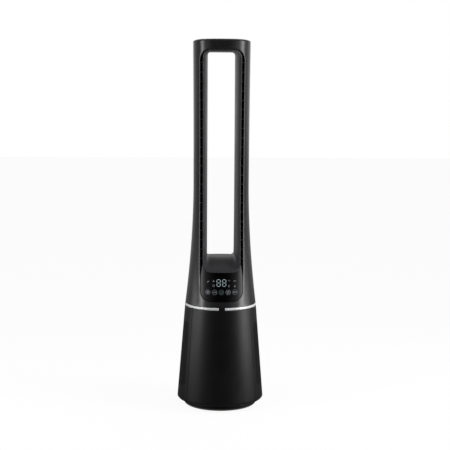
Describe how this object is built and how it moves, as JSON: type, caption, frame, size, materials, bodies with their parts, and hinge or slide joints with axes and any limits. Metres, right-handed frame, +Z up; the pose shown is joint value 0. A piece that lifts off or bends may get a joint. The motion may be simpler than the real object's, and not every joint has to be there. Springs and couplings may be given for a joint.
{
  "type": "bladeless tower fan",
  "caption": "Tall bladeless fan: a rectangular air loop on a conical body with a perforated intake, a touch panel and a foot disc it turns on.",
  "frame": {"origin": "middle of the base on the ground, on the oscillation axis", "axes": "+Z up, the front with the touch panel faces -Y, +X is to the right seen from the front"},
  "size_m": [0.2324, 0.2324, 0.982],
  "materials": {
    "shell_black": "black moulded plastic with a fine satin texture",
    "liner_black": "dark grey moulded plastic, slightly lighter than the shells",
    "panel_gloss": "polished black dead-front panel",
    "display_light": "cool white lit segments",
    "key_light": "dim blue-grey light rings",
    "trim_silver": "pale silver satin trim",
    "trim_black": "black moulded plastic",
    "rubber_black": "black rubber",
    "steel": "zinc-plated and bright steel",
    "acetal": "natural white low-friction plastic",
    "inner_plastic": "unpainted dark structural plastic",
    "copper": "copper windings on a laminated core",
    "board_green": "green circuit board with dark parts",
    "filter_paper": "pleated filter paper",
    "filter_net": "dark filter net"
  },
  "bodies": {
    "foot": {"foot_disc": "shell_black", "rubber_pads": "rubber_black", "ballast_plate": "steel", "slide_ring": "acetal", "spindle": "steel", "sun_gear": "acetal", "spindle_clip": "steel", "power_inlet": "trim_black", "inlet_pins": "steel", "foot_screws": "steel", "foot_wire": "rubber_black"},
    "head": {"turntable": "inner_plastic", "gear_motor": "steel", "gear_motor_screws": "steel", "chassis_frame": "inner_plastic", "chassis_posts": "steel", "rubber_mounts": "rubber_black", "housing_screws": "steel", "impeller_housing": "inner_plastic", "motor_bucket": "inner_plastic", "motor_stator": "copper", "motor_bearings": "steel", "main_board": "board_green", "board_parts": "board_green", "board_screws": "steel", "mains_wire": "rubber_black", "display_cable": "rubber_black", "air_duct": "inner_plastic", "duct_gasket": "rubber_black", "upper_deck": "inner_plastic", "front_cover": "shell_black", "cover_screws": "steel", "button_bracket": "inner_plastic", "button_spring": "steel", "trim_ring": "trim_silver", "ring_block": "trim_black", "tower_front_shell": "shell_black", "tower_rear_shell": "shell_black", "tower_screws": "steel", "air_liner": "liner_black", "slot_spacers": "liner_black", "top_cap": "shell_black", "control_panel": "panel_gloss", "display_frame": "inner_plastic", "display_board": "board_green", "display_digits": "display_light", "key_rings": "key_light"},
    "pinion": {"drive_pinion": "acetal"},
    "fan_rotor": {"motor_rotor": "steel", "motor_shaft": "steel", "impeller": "inner_plastic"},
    "right_cover": {"side_cover_right": "shell_black", "filter_right": "filter_paper", "filter_frame_right": "inner_plastic", "filter_mesh_right": "filter_net"},
    "left_cover": {"side_cover_left": "shell_black", "filter_left": "filter_paper", "filter_frame_left": "inner_plastic", "filter_mesh_left": "filter_net"},
    "button": {"release_button": "trim_black"}
  },
  "joints": [
    {"name": "oscillation", "type": "hinge", "parent": "foot", "child": "head", "pos_m": [0, 0, 0.02], "axis": [0, 0, 1], "range_deg": [-40, 40]},
    {"name": "pinion_spin", "type": "hinge", "parent": "head", "child": "pinion", "pos_m": [0, -0.0564, 0.013], "axis": [0, 0, 1], "range_deg": [-160, 160]},
    {"name": "impeller_spin", "type": "hinge", "parent": "head", "child": "fan_rotor", "pos_m": [0, 0, 0.1], "axis": [0, 0, 1], "continuous": true},
    {"name": "right_cover_release", "type": "slide", "parent": "head", "child": "right_cover", "axis": [1, 0, 0], "range_m": [0, 0.12]},
    {"name": "left_cover_release", "type": "slide", "parent": "head", "child": "left_cover", "axis": [-1, 0, 0], "range_m": [0, 0.12]},
    {"name": "button_press", "type": "slide", "parent": "head", "child": "button", "axis": [0, -1, 0], "range_m": [0, 0.002], "stiffness_N_per_m": 600, "deforming": ["button_spring"]}
  ],
  "couplings": [
    {"joint": "pinion_spin", "follows": "oscillation", "ratio": 4}
  ]
}
